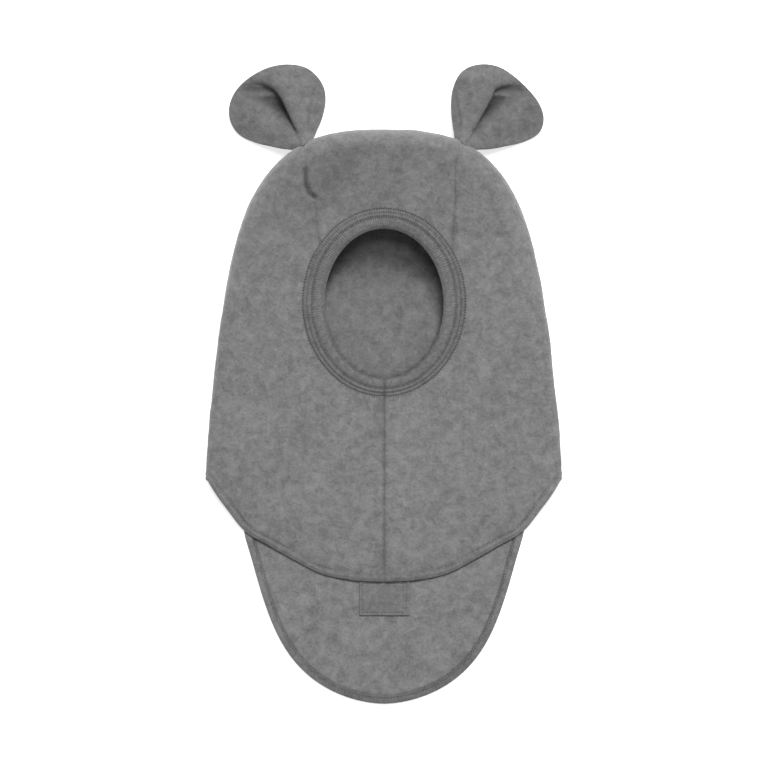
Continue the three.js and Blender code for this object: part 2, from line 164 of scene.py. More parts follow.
# %% Tables and the curve through them
SECTIONS = {
    "y": (-147, -110, -70, -10, 60, 120, 160, 190),
    "fold": (5.0, 5.2, 5.6, 7.5, 10.0, 13.0, 16.5, 20.0),
    "crest": (10.5, 11.5, 13.0, 16.0, 26.0, 36.0, 43.5, 48.0),
    "fall": (0.08, 0.10, 0.12, 0.02, 0.12, 0.20, 0.22, 0.20),
    "front_round": (12, 12, 13, 16, 20, 20, 17, 15),
    "back_round": (9, 9, 9, 11, 14, 17, 19, 20),
}
CROWN_SEAM = {
    "y": (96, 116, 137, 146, 158, 170, 179),
    "left": (46.4, 49.7, 52.0, 55.9, 57.5, 58.5, 59.4),
    "right": (50.6, 51.1, 52.6, 52.3, 52.8, 54.8, 57.5),
}
FRONT_HEM = {
    "x": (0, 22, 45.8, 66, 86, 103, 116.5, 133.2),
    "y": (-146.6, -145.6, -140.8, -130.6, -119.2, -109.0, -92.2, -70),
}


def through(table, over, column, at):
    """Cubic through the rows of a table: each piece joins two rows' values with the slopes of
    the lines between their neighbours."""
    x, v = np.asarray(table[over], float), np.asarray(table[column], float)
    at = np.clip(at, x[0], x[-1])
    low = np.maximum(np.arange(len(x)) - 1, 0)
    high = np.minimum(np.arange(len(x)) + 1, len(x) - 1)
    slope = (v[high] - v[low]) / (x[high] - x[low])
    i = np.clip(np.searchsorted(x, at, side="right") - 1, 0, len(x) - 2)
    span = x[i + 1] - x[i]
    t = (at - x[i]) / span
    return (v[i] * (1 + 2 * t) * (1 - t) ** 2 + v[i + 1] * t * t * (3 - 2 * t)
            + slope[i] * span * t * (1 - t) ** 2 - slope[i + 1] * span * t * t * (1 - t))


def settle(start, step):
    """Follows a value that maps to itself, by going back and forth."""
    value = start
    for _ in range(12):
        value = step(value)
    return value


print("height of the brow at y = 150:", round(float(through(SECTIONS, "y", "crest", 150)), 1), "mm")

# %% [markdown]
# ## Outlines
# Laid flat, the hood's side folds flare gently towards the shoulders and round over at the
# crown. One power formula holds both: how far out a point is across, to one power, and how far
# up it is, to another, add up to one on the fold line. The back bib narrows in the same way.

# %% Outline of the folded hood, the bib and the band
crown_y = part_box("middle_panel")[1][1] / MM
bib_bottom_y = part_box("middle_panel")[0][1] / MM - 0.1
CORNER_Y = -70.0
FOLD = {"base": -120.0, "width": 132.5, "taper": 0.0683, "curve": 0.000249,
        "crown_power": 8, "side_power": 2.74}
BIB = {"top": -60.0, "width": 103.6, "width_y": -109.0, "taper": 0.2627, "power": 6.94, "round_power": 1.804}
BACK_SEAM_END_Y = -107.5
BACK_SEAM_POWER = 1.6
BACK_HEM_INSET = 0.8
OUTER = {"y": 59.9, "width": 60.2, "height": 69.1}
INNER = {"y": 59.2, "width": 43.9, "height": 55.1}


def open_half_width(y):
    """Half width without the crown's rounding: a parabola in y above the shoulder corners."""
    up = np.maximum(y, CORNER_Y) - CORNER_Y
    return FOLD["width"] - FOLD["taper"] * up - FOLD["curve"] * up ** 2


def crown_share(y):
    """0 at the base of the crown's rounding and 1 at the crown."""
    return np.maximum((np.maximum(y, CORNER_Y) - FOLD["base"]) / (crown_y - FOLD["base"]), 0)


def fold_x(y):
    """Half width of the fold line: (x / open half width) ^ side + share ^ crown = 1."""
    rest = np.maximum(1 - crown_share(y) ** FOLD["crown_power"], 0)
    return open_half_width(y) * rest ** (1 / FOLD["side_power"])


def fold_top_y(x):
    """Height of the fold line over a point across, from the same formula solved for y."""
    def step(y):
        rest = np.maximum(1 - (np.abs(x) / open_half_width(y)) ** FOLD["side_power"], 0)
        return FOLD["base"] + (crown_y - FOLD["base"]) * rest ** (1 / FOLD["crown_power"])
    return settle(crown_y, step)


def bib_half_width(y):
    """Half width of the back bib: a straight taper, times (1 - t ^ power) ^ (1 / round)."""
    t = np.clip((BIB["top"] - y) / (BIB["top"] - bib_bottom_y), 0, 1)
    straight = BIB["width"] + BIB["taper"] * (y - BIB["width_y"])
    return straight * (1 - t ** BIB["power"]) ** (1 / BIB["round_power"])


def band_top_y(x):
    """Upper half of the ellipse along which the face band is sewn in."""
    return OUTER["y"] + OUTER["height"] * np.sqrt(np.maximum(1 - (x / OUTER["width"]) ** 2, 0))


def seam_x(side, y):
    """Distance of a crown seam from the centre line."""
    return through(CROWN_SEAM, "y", side, y)


def seam_end(side, outline):
    """Where a crown seam meets the fold line or the band: (distance across, y)."""
    y = settle(crown_y if outline is fold_top_y else OUTER["y"], lambda at: outline(seam_x(side, at)))
    return float(seam_x(side, y)), float(y)


def back_seam_x(side, y):
    """The back seam leaves the crown seam at the fold and spreads to the bib's shoulder."""
    x, top = seam_end(side, fold_top_y)
    down = np.clip((top - y) / (top - BACK_SEAM_END_Y), 0, 1) ** BACK_SEAM_POWER
    return x + (bib_half_width(BACK_SEAM_END_Y) - x) * down


def front_hem_y(x):
    """Lower edge of the front bib."""
    return through(FRONT_HEM, "x", "y", np.abs(x))


for side in ("left", "right"):
    low_end, high_end = (np.round(seam_end(side, outline), 1) for outline in (band_top_y, fold_top_y))
    print(side, "crown seam runs from", low_end, "to", high_end)

# %% [markdown]
# ## The puffed surface
# Thick fleece doesn't fold sharply. The front and the back meet in a rounded fold, so each face
# is a quarter ellipse from the fold line inward and levels out beyond it: the back on the
# floor, the front on a crest that is high at the brow and low at the chin. The normal comes
# from the same formulas, multiplied through by the rise so that it stays finite at the fold.

# %% Points and normals of the hood
STEP = 0.05
TINY = 1e-6                      # keeps a division finite


def slopes(value, x, y):
    """Slopes of a value over the plane, along x and along y, from its values a step away."""
    return ((value(x + STEP, y) - value(x - STEP, y)) / (2 * STEP),
            (value(x, y + STEP) - value(x, y - STEP)) / (2 * STEP))


def inside_fold(x, y):
    """Distance inside the fold line: the outline's formula divided by the size of its slope."""
    def reach(px, py):
        across = np.abs(px) / open_half_width(py)
        return 1 - across ** FOLD["side_power"] - crown_share(py) ** FOLD["crown_power"]
    return np.maximum(reach(x, y), 0) / np.maximum(np.hypot(*slopes(reach, x, y)), TINY)


def crest_height(x, y):
    """Height of the front before its rounding: highest on the centre line."""
    across = np.minimum(np.abs(x) / open_half_width(y), 1)
    return through(SECTIONS, "y", "crest", y) * (1 - through(SECTIONS, "y", "fall", y) * across ** 2)


def hood_surface(x, y, front):
    """Outer points over (x, y) and their outward normals; front is 1 on the front face and 0 on
    the back. Height = fold + depth * sqrt(1 - (1 - t)^2), t being the share of the rounding."""
    fold = through(SECTIONS, "y", "fold", y)
    reach = np.where(front, *(through(SECTIONS, "y", name, y) for name in ("front_round", "back_round")))

    def share(px, py):
        return np.minimum(inside_fold(px, py) / reach, 1)
    t = share(x, y)
    rise = np.sqrt(1 - (1 - t) ** 2)
    toward_x, toward_y = slopes(share, x, y)
    crest_x, crest_y = slopes(crest_height, x, y)
    depth = np.where(front, crest_height(x, y) - fold, -fold)
    tilt = np.where(front, 1.0, 0.0) * rise ** 2
    sign = np.where(front, 1.0, -1.0)
    leans = [-sign * (crest * tilt + depth * (1 - t) * toward)
             for crest, toward in ((crest_x, toward_x), (crest_y, toward_y))]
    normal = np.stack(leans + [sign * rise], axis=-1)
    normal /= np.linalg.norm(normal, axis=-1, keepdims=True)
    return np.stack([x, y, fold + depth * rise], axis=-1), normal


# %% [markdown]
# ## Soft unevenness
# Felted fleece is never flat: the pile lies in clumps, and the cloth is a little fuller here and
# thinner there. A value noise does for both. It is a lattice of random heights joined by smooth
# steps, and a few sizes of it are added together. The seed is fixed, so every run is the same.

# %% Value noise over a plane
LATTICE = 257


def patches(x, y, size, seed):
    """Random heights from -1 to 1 on a square lattice of the given size, joined smoothly."""
    heights = np.random.default_rng(seed).uniform(-1, 1, (LATTICE, LATTICE))
    u, v = x / size + LATTICE * 7, y / size + LATTICE * 7
    i, j = np.floor(u).astype(int), np.floor(v).astype(int)
    s, t = u - i, v - j
    s, t = s * s * (3 - 2 * s), t * t * (3 - 2 * t)

    def corner(a, b):
        return heights[(i + a) % LATTICE, (j + b) % LATTICE]
    near = corner(0, 0) * (1 - s) + corner(1, 0) * s
    far = corner(0, 1) * (1 - s) + corner(1, 1) * s
    return near * (1 - t) + far * t


def bump(distance, width):
    """A rounded ridge: 1 on its line and fading over its width."""
    return np.exp(-(distance / width) ** 2)


def past(value, width):
    """0 below nought and 1 above it, changing over the width: 1 / (1 + e ^ (-value / width))."""
    return 1 / (1 + np.exp(-value / width))


def near_line(x, y, start, end, width):
    """1 along a line between two places, fading off to its sides and past its ends."""
    start, way = np.array(start), np.subtract(end, start)
    length = np.hypot(*way)
    along = ((x - start[0]) * way[0] + (y - start[1]) * way[1]) / length
    beside = ((x - start[0]) * way[1] - (y - start[1]) * way[0]) / length
    past = np.maximum(np.maximum(-along, along - length), 0)
    return bump(beside, width) * bump(past, width * 1.2)


def pile(x, y, seed):
    """Unevenness of the fleece, in mm: slow waves, clumps of pile, and short tufts."""
    return (0.30 * patches(x, y, 31, seed) + 0.16 * patches(x, y, 11, seed + 1)
            + 0.10 * patches(x, y, 4.3, seed + 2) + 0.07 * patches(x, y, 2.1, seed + 3))


# %% [markdown]
# ## Seams, folds and hems as relief
# Where two panels are sewn together the cloth dives into the seam and swells beside it. The
# left crown seam is pinched into a short deep fold that hooks towards the middle. The hems are
# turned to the inside and held by two rows of stitching, which sink a groove. All of it is one
# height over the smooth surface, added along the normal.

# %% Relief of the front and of the inside of the back
HEM_WIDTH = 6.6
STITCH_ROWS = (4.4, 5.7)         # from the front hem's edge
RIBS = 210                       # round the face band
WALL = 2.2
BIB_MIDDLE = 100                 # the round end of the bib is reckoned from this far below Y = 0
BIB_RADIUS = 130
HEM_EXTRA = 0.9


def front_edge(x, y):
    """Distance to the front bib's lower edge, taken square to it."""
    slope = (front_hem_y(np.abs(x) + 1) - front_hem_y(np.abs(x) - 1)) / 2
    return (y - front_hem_y(x)) / np.sqrt(1 + slope ** 2)


def bib_edge(x, y):
    """Distance to the back bib's edge: its half width less x, divided by the size of the slope."""
    def gap(px, py):
        return bib_half_width(py) ** 2 - px ** 2
    return np.maximum(gap(x, y), 0) / np.maximum(np.hypot(-2 * x, slopes(gap, x, y)[1]), TINY)


def crown_seam_gap(x, y):
    """Signed distance outward from the nearer crown seam."""
    return np.where(x < 0, -x - seam_x("left", y), x - seam_x("right", y))


DENT = (51.5, 114)               # a small dent in the right crown seam
DENT_FOLD = (42.6, 112.6)        # where the short fold beside it starts
DENT_FOLD_WAY = (6.8, 5.1)       # and the way that it runs, 8.5 long
PINCH_Y = 149                    # about here the left crown seam lies in the pinch
PINCH = ((-58.2, 156.5), (-57.8, 145.5), (-55.6, 140.0), (-51.6, 137.6))   # its fold, to its hook


def pinch_fold(x, y, width, shift=0.0):
    """1 in the bottom of the pinch and fading over a width; shift moves the line in x."""
    parts = [near_line(x - shift, y, start, end, width) for start, end in zip(PINCH[:-1], PINCH[1:])]
    return np.max(parts, axis=0)


def gathers(x, y):
    """Small radial puckers where the front is eased into the band's seam, most at the brow."""
    px, py = x / OUTER["width"], (y - OUTER["y"]) / OUTER["height"]
    turn = np.arctan2(py, px)
    beyond = (np.hypot(px, py) - 1) * OUTER["width"]
    most = 0.25 + 0.75 * bump((py / np.maximum(np.hypot(px, py), 1e-6) - 1) * 1.3, 1.0)
    return np.cos(RIBS * turn + 2 * patches(x, y, 9, 6)) * bump(beyond - 0.6, 1.7) * most


def front_relief(x, y):
    """Relief of the front face in mm."""
    height = pile(x, y, 11)
    chin = np.abs(x)
    below_band = past(-(y - OUTER["y"] + OUTER["height"]), 1.5)
    height += below_band * (0.45 * bump(chin - 3.8, 2.6) - 1.0 * bump(chin, 1.2))
    seam = crown_seam_gap(x, y)
    above_band = past(y - 98, 2.0)
    apart = 1 - 0.95 * bump(y - PINCH_Y, 13) * (x < 0)
    height += above_band * apart * (0.30 * bump(np.abs(seam) - 4.0, 3.0) - 0.6 * bump(seam, 1.4))
    height += (0.7 * pinch_fold(x, y, 3.0, 4.6) + 0.5 * pinch_fold(x, y, 2.4, -4.6)
               - 2.1 * pinch_fold(x, y, 1.8))
    height += 0.13 * gathers(x, y)
    height -= 1.9 * near_line(x, y, (-43, 143), (-34, 163), 11)
    height -= 0.9 * bump(np.hypot((x - DENT[0]) / 2.6, (y - DENT[1]) / 6.5), 1)
    out_x, out_y = x - DENT_FOLD[0], y - DENT_FOLD[1]
    along = (out_x * DENT_FOLD_WAY[0] + out_y * DENT_FOLD_WAY[1]) / 8.5
    beside = (-out_x * DENT_FOLD_WAY[1] + out_y * DENT_FOLD_WAY[0]) / 8.5
    height -= 0.5 * bump(beside, 0.9) * bump(along - 4.2, 4.0)
    edge = front_edge(x, y)
    height += 0.35 * bump(edge - 2.4, 1.5) - 2.2 * np.exp(-np.maximum(edge, 0) / 1.3)
    for row in STITCH_ROWS:
        height -= 0.5 * bump(edge - row, 0.5)
    pucker = np.cos(x * 2 * np.pi / 2.7 + 2 * patches(x, y, 5, 3)) * bump(edge - 3.0, 3.2)
    height += 0.10 * pucker * (0.5 + 0.8 * bump(x, 40))
    return height


def hem_run(x, y):
    """Distance along the bib's round hem: the angle about a middle, times a mean radius."""
    return np.arctan2(x, -(y + BIB_MIDDLE)) * BIB_RADIUS


def inside_relief(x, y):
    """Relief of the inner face of the back, in mm: plain cloth, and the bib's turned hem with
    the looper threads that bind its cut edge."""
    height = pile(x, y, 41)
    edge = bib_edge(x, y)
    height -= 0.35 * bump(edge - HEM_WIDTH, 0.8) * (y < -100)
    height += 0.16 * np.cos(hem_run(x, y) * 2 * np.pi / 1.9) * bump(edge - 3.6, 2.6) * (y < -112)
    return height


pinch_depth = float(front_relief(np.array([-56.5]), np.array([148.0]))[0])
print("deepest of the front relief:", round(pinch_depth, 2), "mm")

# %% [markdown]
# ## From grid to closed cloth
# A panel is an outer grid and an inner grid a wall apart. Cut cloth has a soft rounded rim, so
# the two are joined round the edge by a half ellipse that stands out a little. Solidify would
# give a square rim and couldn't thicken the hems, which is why the wall is made here.

# %% Meshes from grids
RIM_STEPS = 5


def new_piece(name, points, quads, node_names, finish, triangles=(), shade=None):
    """A smooth mesh object from points in mm and faces, riding on the hood. Shade is the painted
    shade at each point, by which the cloth's colour is multiplied, 1 being its own colour."""
    points = np.asarray(points, float) * MM
    faces = [np.asarray(quads, int).reshape(-1, 4), np.asarray(triangles, int).reshape(-1, 3)]
    a, b, c = (points[faces[0][:, k]] for k in (0, 1, 2))
    d = points[faces[0][:, 3]]
    volume = np.einsum("ij,ij->", a, np.cross(b, c)) + np.einsum("ij,ij->", a, np.cross(c, d))
    if volume < 0:
        faces = [f[:, ::-1] for f in faces]
    mesh = bpy.data.meshes.new(name)
    mesh.vertices.add(len(points))
    mesh.vertices.foreach_set("co", points.ravel())
    sizes = np.concatenate([np.full(len(f), f.shape[1]) for f in faces])
    mesh.loops.add(int(sizes.sum()))
    mesh.loops.foreach_set("vertex_index", np.concatenate([f.ravel() for f in faces]))
    mesh.polygons.add(len(sizes))
    mesh.polygons.foreach_set("loop_start", np.concatenate([[0], np.cumsum(sizes)[:-1]]))
    mesh.polygons.foreach_set("use_smooth", np.ones(len(sizes), bool))
    mesh.update(calc_edges=True)
    shades = mesh.attributes.new("shade", "FLOAT", "POINT")
    shades.data.foreach_set("value", np.ones(len(points)) if shade is None else shade)
    mesh.materials.append(finish)
    made = bpy.data.objects.new(name, mesh)
    bpy.context.scene.collection.objects.link(made)
    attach(made, "root")
    if node_names:
        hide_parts(*node_names)
    print(name, "has", len(points), "points and", len(sizes), "faces")
    return made


def grid_ring(rows, columns):
    """Indices of a grid's points, and of those round its edge in their order."""
    index = np.arange(rows * columns).reshape(rows, columns)
    return index, np.concatenate([index[0, :], index[1:, -1], index[-1, -2::-1], index[-2:0:-1, 0]])


def closed_wall(outer, inner, bulge):
    """Points and quads of the cloth between two grids. The rim is a half ellipse from the outer
    edge to the inner one, standing out square to the edge by bulge, which has a value for each
    point of the grid."""
    rows, columns = outer.shape[:2]
    index, ring = grid_ring(rows, columns)
    top, under = outer.reshape(-1, 3), inner.reshape(-1, 3)
    a, b = top[ring], under[ring]
    along = np.roll(a, -1, axis=0) - np.roll(a, 1, axis=0)
    away = np.cross(along, a - b)
    away *= bulge.reshape(-1)[ring][:, None] / np.maximum(np.linalg.norm(away, axis=1, keepdims=True), 1e-9)
    middle = outer.reshape(rows * columns, 3).mean(axis=0)
    inward = top[index[rows // 2, columns // 2]] - a
    if np.einsum("ij,ij->", away, inward) > 0:
        away = -away
    turns = np.linspace(0, np.pi, RIM_STEPS + 1)[1:-1]
    rims = [(a + b) / 2 + (a - b) / 2 * np.cos(t) + away * np.sin(t) for t in turns]
    points = np.concatenate([top, under] + rims)

    def sheet(grid):
        return np.stack([grid[:-1, :-1], grid[:-1, 1:], grid[1:, 1:], grid[1:, :-1]], axis=-1).reshape(-1, 4)
    count = rows * columns
    between = [2 * count + k * len(ring) + np.arange(len(ring)) for k in range(len(rims))]
    loops = [ring] + between + [ring + count]
    quads = [sheet(index), sheet(index + count)[:, ::-1]]
    for first, second in zip(loops[:-1], loops[1:]):
        quads.append(np.stack([first, second, np.roll(second, -1), np.roll(first, -1)], axis=-1))
    return points, np.concatenate(quads)


def wall_shade(outer, inner):
    """Painted shade of a closed wall's points: its two faces' own, and along the rim the two mixed."""
    _, ring = grid_ring(*outer.shape)
    a, b = outer.ravel()[ring], inner.ravel()[ring]
    shares = (1 + np.cos(np.linspace(0, np.pi, RIM_STEPS + 1)[1:-1])) / 2
    return np.concatenate([outer.ravel(), inner.ravel()] + [a * share + b * (1 - share) for share in shares])


def hem_extra(distance):
    """What the turned edge adds to the wall: all of it at the edge, none past the hem."""
    t = np.clip((distance - (HEM_WIDTH - 1.8)) / 2.8, 0, 1)
    return HEM_EXTRA * (1 - t * t * (3 - 2 * t))


# %% [markdown]
# ## Finishes
# Felted fleece is a mat of wool fibres: dull, lighter where it is seen edge on because loose
# fibres catch the light there, and mottled because pale and dark wool are blended. Sheen gives
# the pale edges, two sizes of noise the blend, and a fine bump the fibre clumps that are too
# small to model. The blotches are a little coarser than the real fibres, so that they show.

# %% Felted fleece, rib knit and thread
def wool(name, dark, pale, fibre, bump_depth, sheen):
    """Matt wool: colours blended by three noises less a fourth for flecks, a bump over the finest, and
    sheen.
    """
    made, shader = material(name)
    tree = made.node_tree
    place = add_node(tree, "ShaderNodeTexCoord").outputs["Object"]
    sizes = {"cloud": (22 * MM, 2.0, 0.5, 0.0), "clump": (fibre * 3.1 * MM, 4.0, 0.64, 0.45),
             "fine": (fibre * MM, 3.0, 0.6, 0.0)}
    noise = {}
    for key, (size, detail, rough, twist) in sizes.items():
        settings = {"Scale": 1 / size, "Detail": detail, "Roughness": rough, "Distortion": twist}
        noise[key] = add_node(tree, "ShaderNodeTexNoise", settings, {"Vector": place}).outputs["Fac"]
    both = add_node(tree, "ShaderNodeMath", {"operation": "MULTIPLY_ADD", 1: 0.45},
                    {0: noise["fine"], 2: noise["clump"]})
    every = add_node(tree, "ShaderNodeMath", {"operation": "MULTIPLY_ADD", 1: 0.30},
                     {0: noise["cloud"], 2: both.outputs[0]})
    fleck = add_node(tree, "ShaderNodeTexNoise", {"Scale": 1 / (1.3 * MM), "Detail": 1.0}, {"Vector": place})
    flecks = add_node(tree, "ShaderNodeMapRange", {"From Min": 0.66, "From Max": 0.76, "To Max": 0.32},
                      {"Value": fleck.outputs["Fac"]})
    dulled = add_node(tree, "ShaderNodeMath", {"operation": "SUBTRACT"},
                      {0: every.outputs[0], 1: flecks.outputs["Result"]})
    blend = add_node(tree, "ShaderNodeMapRange", {"From Min": 0.55, "From Max": 1.20},
                     {"Value": dulled.outputs[0]})
    colour = add_node(tree, "ShaderNodeMix", {"data_type": "RGBA", 6: linear(dark), 7: linear(pale)},
                      {0: blend.outputs["Result"]})
    relief = add_node(tree, "ShaderNodeBump", {"Strength": 1.0, "Distance": bump_depth * MM},
                      {"Height": noise["fine"]})
    # The colour is multiplied by each point's shade: painted shade, painted shadow and painted highlight
    # worked out per piece.
    shade = add_node(tree, "ShaderNodeAttribute", {"attribute_name": "shade"})
    shaded = add_node(tree, "ShaderNodeVectorMath", {"operation": "SCALE"},
                      {0: colour.outputs[2], "Scale": shade.outputs["Fac"]})
    tree.links.new(shaded.outputs[0], shader.inputs["Base Color"])
    tree.links.new(relief.outputs["Normal"], shader.inputs["Normal"])
    set_inputs(shader, {"Roughness": 0.95, "Specular IOR Level": 0.15, "Sheen Weight": sheen,
                        "Sheen Roughness": 0.45, "Sheen Tint": linear("#e8e8e8")})
    return made


fleece = wool("felted wool fleece, blended greys", "#5b5b5b", "#858585", 2.2, 0.60, 0.45)
# The ears are the same fleece as the hood, given darker colours as painted shade for how the light falls on
# the cupped ears.
ear_fleece_painted_darker = wool("felted wool fleece of the ears, painted darker as shade", "#535353", "#797979", 2.2, 0.60, 0.45)
rib_knit = wool("fine wool rib knit", "#525252", "#7c7c7c", 0.9, 0.30, 0.25)
patch_cloth = wool("woven wool patch", "#575757", "#7a7a7a", 1.4, 0.45, 0.30)
thread = wool("spun polyester sewing thread", "#484848", "#646464", 0.5, 0.05, 0.0)
print("materials:", len(bpy.data.materials))

# %% [markdown]
# ## Middle panel
# This one piece of cloth is the forehead, the crown, the lining that shows through the face
# opening, and the long back bib. Its grid runs from the band over the crown's fold, down the
# back and out to the bib's round end. The two seam edges are its first and last columns.

# %% Middle panel
BIB_ROW_END_Y = -222.0           # the bib's side edges end here and its round end begins
HEM_RIM = 0.9                    # how far an edge's rounding stands out: at a hem,
BAND_RIM = 0.22                  # under the face band,
SEAM_RIM = 0.14                  # and in a seam
MIDDLE_COLUMNS = 146
FOREHEAD_ROWS, CROWN_BACK_ROWS, BACK_ROWS, BIB_ROWS = 78, 51, 72, 112
NO_HEM = 50.0                    # a distance at which nothing of a hem is felt
STRAIGHT_Y = 110.0


def front_face(x, y):
    """Outer front surface with its relief, and its normals. The hem hangs down a little over
    the bib beneath it, most at the edge."""
    points, normals = hood_surface(x, y, np.full(np.shape(x), True))
    points = points + normals * front_relief(x, y)[..., None]
    points[..., 2] -= droop(x, y)
    return points, normals


def droop(x, y):
    """How far the front bib hangs down towards its hem, which fades out at the side folds."""
    most = 5.2 - 1.4 * bump(x, 24) - 0.5 * np.clip((np.abs(x) - 50) / 60, 0, 1)
    return most * np.exp(-np.maximum(front_edge(x, y), 0) / 12) * np.clip((128 - np.abs(x)) / 24, 0, 1)


def inside_face(x, y):
    """Inner surface of the back with its relief: one wall over the floor, and the hem's extra."""
    points, normals = hood_surface(x, y, np.full(np.shape(x), False))
    hem = np.where(y > BACK_SEAM_END_Y, NO_HEM, bib_edge(x, y))
    return points - normals * (WALL + hem_extra(hem) + inside_relief(x, y))[..., None]


def front_painted_shade(x, y):
    """Painted shade of the outer face: darker over the brow and the crown, in the seams, the
    pinch, the hollow beside it, the dent, the chin seam and along the stitch rows, with a painted
    highlight on the hem's strip and painted light and shade on the puckers at the band."""
    brow = past(y - 118, 14) + 0.8 / (1 + np.exp(-(y - 158) / 6))
    gap = crown_seam_gap(x, y)
    hollow = near_line(x, y, (-45, 137), (-34, 157), 11)
    right_seam = (bump(gap, 1.3) * (x > 0) * bump(y - 128, 30)
                  + bump(np.hypot((x - DENT[0]) / 2.4, (y - DENT[1]) / 6), 1))
    chin = bump(x, 1.4) * (y < OUTER["y"] - OUTER["height"] + 2)
    edge = front_edge(x, y)
    stitched = sum(bump(edge - row, 0.55) for row in STITCH_ROWS) - 0.35 * bump(edge - 2.2, 1.3)
    return (1 - 0.09 * brow - 0.46 * pinch_fold(x, y, 1.3) - 0.17 * hollow - 0.13 * right_seam
            - 0.17 * chin - 0.13 * stitched + 0.10 * gathers(x, y))


def inside_painted_shade(x, y, edge):
    """Painted shade of the inner face: painted shade within the hood, a painted shadow under the
    brow and along the band's inner edge; the bib's hem darker towards the bottom and along its
    inner line, with ticks along it."""
    within = past(y + 60, 30)
    under_brow = past(y - 79, 4) - 0.75 / (1 + np.exp(-(y - 97) / 3))
    share = np.hypot(x / INNER["width"], (y - INNER["y"]) / INNER["height"])
    beside_band = bump((share - 1.0) * 44, 1.5) / (1 + np.exp((y - 45) / 10))
    low = np.clip((-160 - y) / 68, 0, 1)
    ticks = 0.5 + 0.5 * np.cos(hem_run(x, y) * 2 * np.pi / 2.6)
    hem = (y < BACK_SEAM_END_Y) / (1 + np.exp((edge - HEM_WIDTH + 0.3) / 0.5))
    return (1 - 0.13 * within - 0.34 * under_brow - 0.42 * beside_band
            - hem * (0.26 * low + 0.08 * ticks) - 0.10 * bump(edge - HEM_WIDTH, 0.8) * (y < BACK_SEAM_END_Y))


def panel(name, x, y, front, hem_edge, rims):
    """A wall of cloth over a grid of places: outer face with its relief, inner face a wall
    away, thicker within the hem, with the relief of the inside."""
    points, normals = hood_surface(x, y, front)
    lift = past(points[..., 2] - 2.5, 0.7)
    under = pile(x, y, 11) - 0.65 * (1 - lift)
    out_height = np.where(front, front_relief(x, y), under)
    in_height = np.where(front, 0.0, inside_relief(x, y))
    outer = points + normals * out_height[..., None]
    inner = points - normals * (WALL + hem_extra(hem_edge) + in_height)[..., None]
    drop = np.where(front, droop(x, y), 0.0)
    outer[..., 2] = np.maximum(outer[..., 2] - drop, 0.02)
    inner[..., 2] -= drop
    shape, quads = closed_wall(outer, inner, rims)
    # Painted shade of both faces; in the front the inner face takes the outer face's painted shade, so that
    # the rim in a seam is as dark as the cloth beside it.
    before, behind = front_painted_shade(x, y), inside_painted_shade(x, y, hem_edge)
    shade = wall_shade(np.where(front, before, 1.0), np.where(front, before, behind))
    return new_piece(name + "_fleece", shape, quads, [name], fleece, shade=shade)


def offset_line(points, distance):
    """The line moved square to itself, to the left of the way it runs."""
    way = np.gradient(np.asarray(points, float), axis=0)
    way /= np.linalg.norm(way, axis=1, keepdims=True)
    return points + distance * np.stack([-way[:, 1], way[:, 0]], axis=-1)


down = BACK_SEAM_END_Y + 12 + (bib_bottom_y - BACK_SEAM_END_Y - 12) * np.sin(np.linspace(0, np.pi / 2, 6000))
bib_inset = offset_line(np.stack([bib_half_width(down), down], axis=-1), -HEM_RIM)


def middle_rows():
    """Places of the middle panel: forehead, crown, back, then bib. The bib's rows bend more and
    more, until the last one is its round end."""
    u = np.linspace(-1, 1, MIDDLE_COLUMNS)
    u = 0.5 * u + 0.5 * np.sin(u * np.pi / 2)
    rows_x, rows_y, rows_front = [], [], []

    def add(seam_at, y_at, front, inset=SEAM_RIM):
        left, right = (seam_at(side) - inset for side in ("left", "right"))
        x = np.where(u < 0, u * left, u * right)
        rows_x.append(x)
        rows_y.append(y_at(x) + np.zeros_like(x))
        rows_front.append(np.full(x.shape, front))

    def meet(curve, start, y_at):
        return settle(start, lambda x: float(curve(y_at(np.array(x)))))
    for reach in 1 - (1 - np.linspace(0, 1, FOREHEAD_ROWS)) ** 1.8:
        def y_at(x, r=reach):
            return (band_top_y(x) + BAND_RIM) * (1 - r) + fold_top_y(x) * r
        add(lambda side: meet(lambda y: seam_x(side, y), seam_end(side, band_top_y)[0], y_at), y_at, True)
    for reach in np.cos(np.linspace(0, 1, CROWN_BACK_ROWS)[1:] * np.pi / 2):
        def y_at(x, r=reach):
            return STRAIGHT_Y * (1 - r) + fold_top_y(x) * r
        add(lambda side: meet(lambda y: back_seam_x(side, y), seam_end(side, fold_top_y)[0], y_at),
            y_at, False)
    for y in np.linspace(STRAIGHT_Y, BACK_SEAM_END_Y, BACK_ROWS)[1:]:
        add(lambda side: float(back_seam_x(side, y)), lambda x: y, False)
    for t in np.linspace(0, 1, BIB_ROWS)[1:]:
        y = BACK_SEAM_END_Y + (BIB_ROW_END_Y - BACK_SEAM_END_Y) * math.sin(t * np.pi / 2)
        rim = SEAM_RIM + (HEM_RIM - SEAM_RIM) * min(t * 8, 1)

        def y_at(x, y=y, bend=t ** 3):
            return y + bend * np.minimum(np.interp(np.abs(x), bib_inset[::-1, 0], bib_inset[::-1, 1]) - y, 0)
        side_x = np.interp(y, bib_inset[::-1, 1], bib_inset[::-1, 0]) + HEM_RIM - rim
        add(lambda side: float(side_x), y_at, False, 0.0)
    return np.array(rows_x), np.array(rows_y), np.array(rows_front)


x, y, front = middle_rows()
free = np.where(front | (y > BACK_SEAM_END_Y), NO_HEM, bib_edge(x, y))
hem_share = np.clip((BACK_SEAM_END_Y - y) / 6, 0, 1)
rims = np.where(front, SEAM_RIM, SEAM_RIM + (HEM_RIM - SEAM_RIM) * hem_share)
rims[0] = BAND_RIM
middle = panel("middle_panel", x, y, front, free, rims)

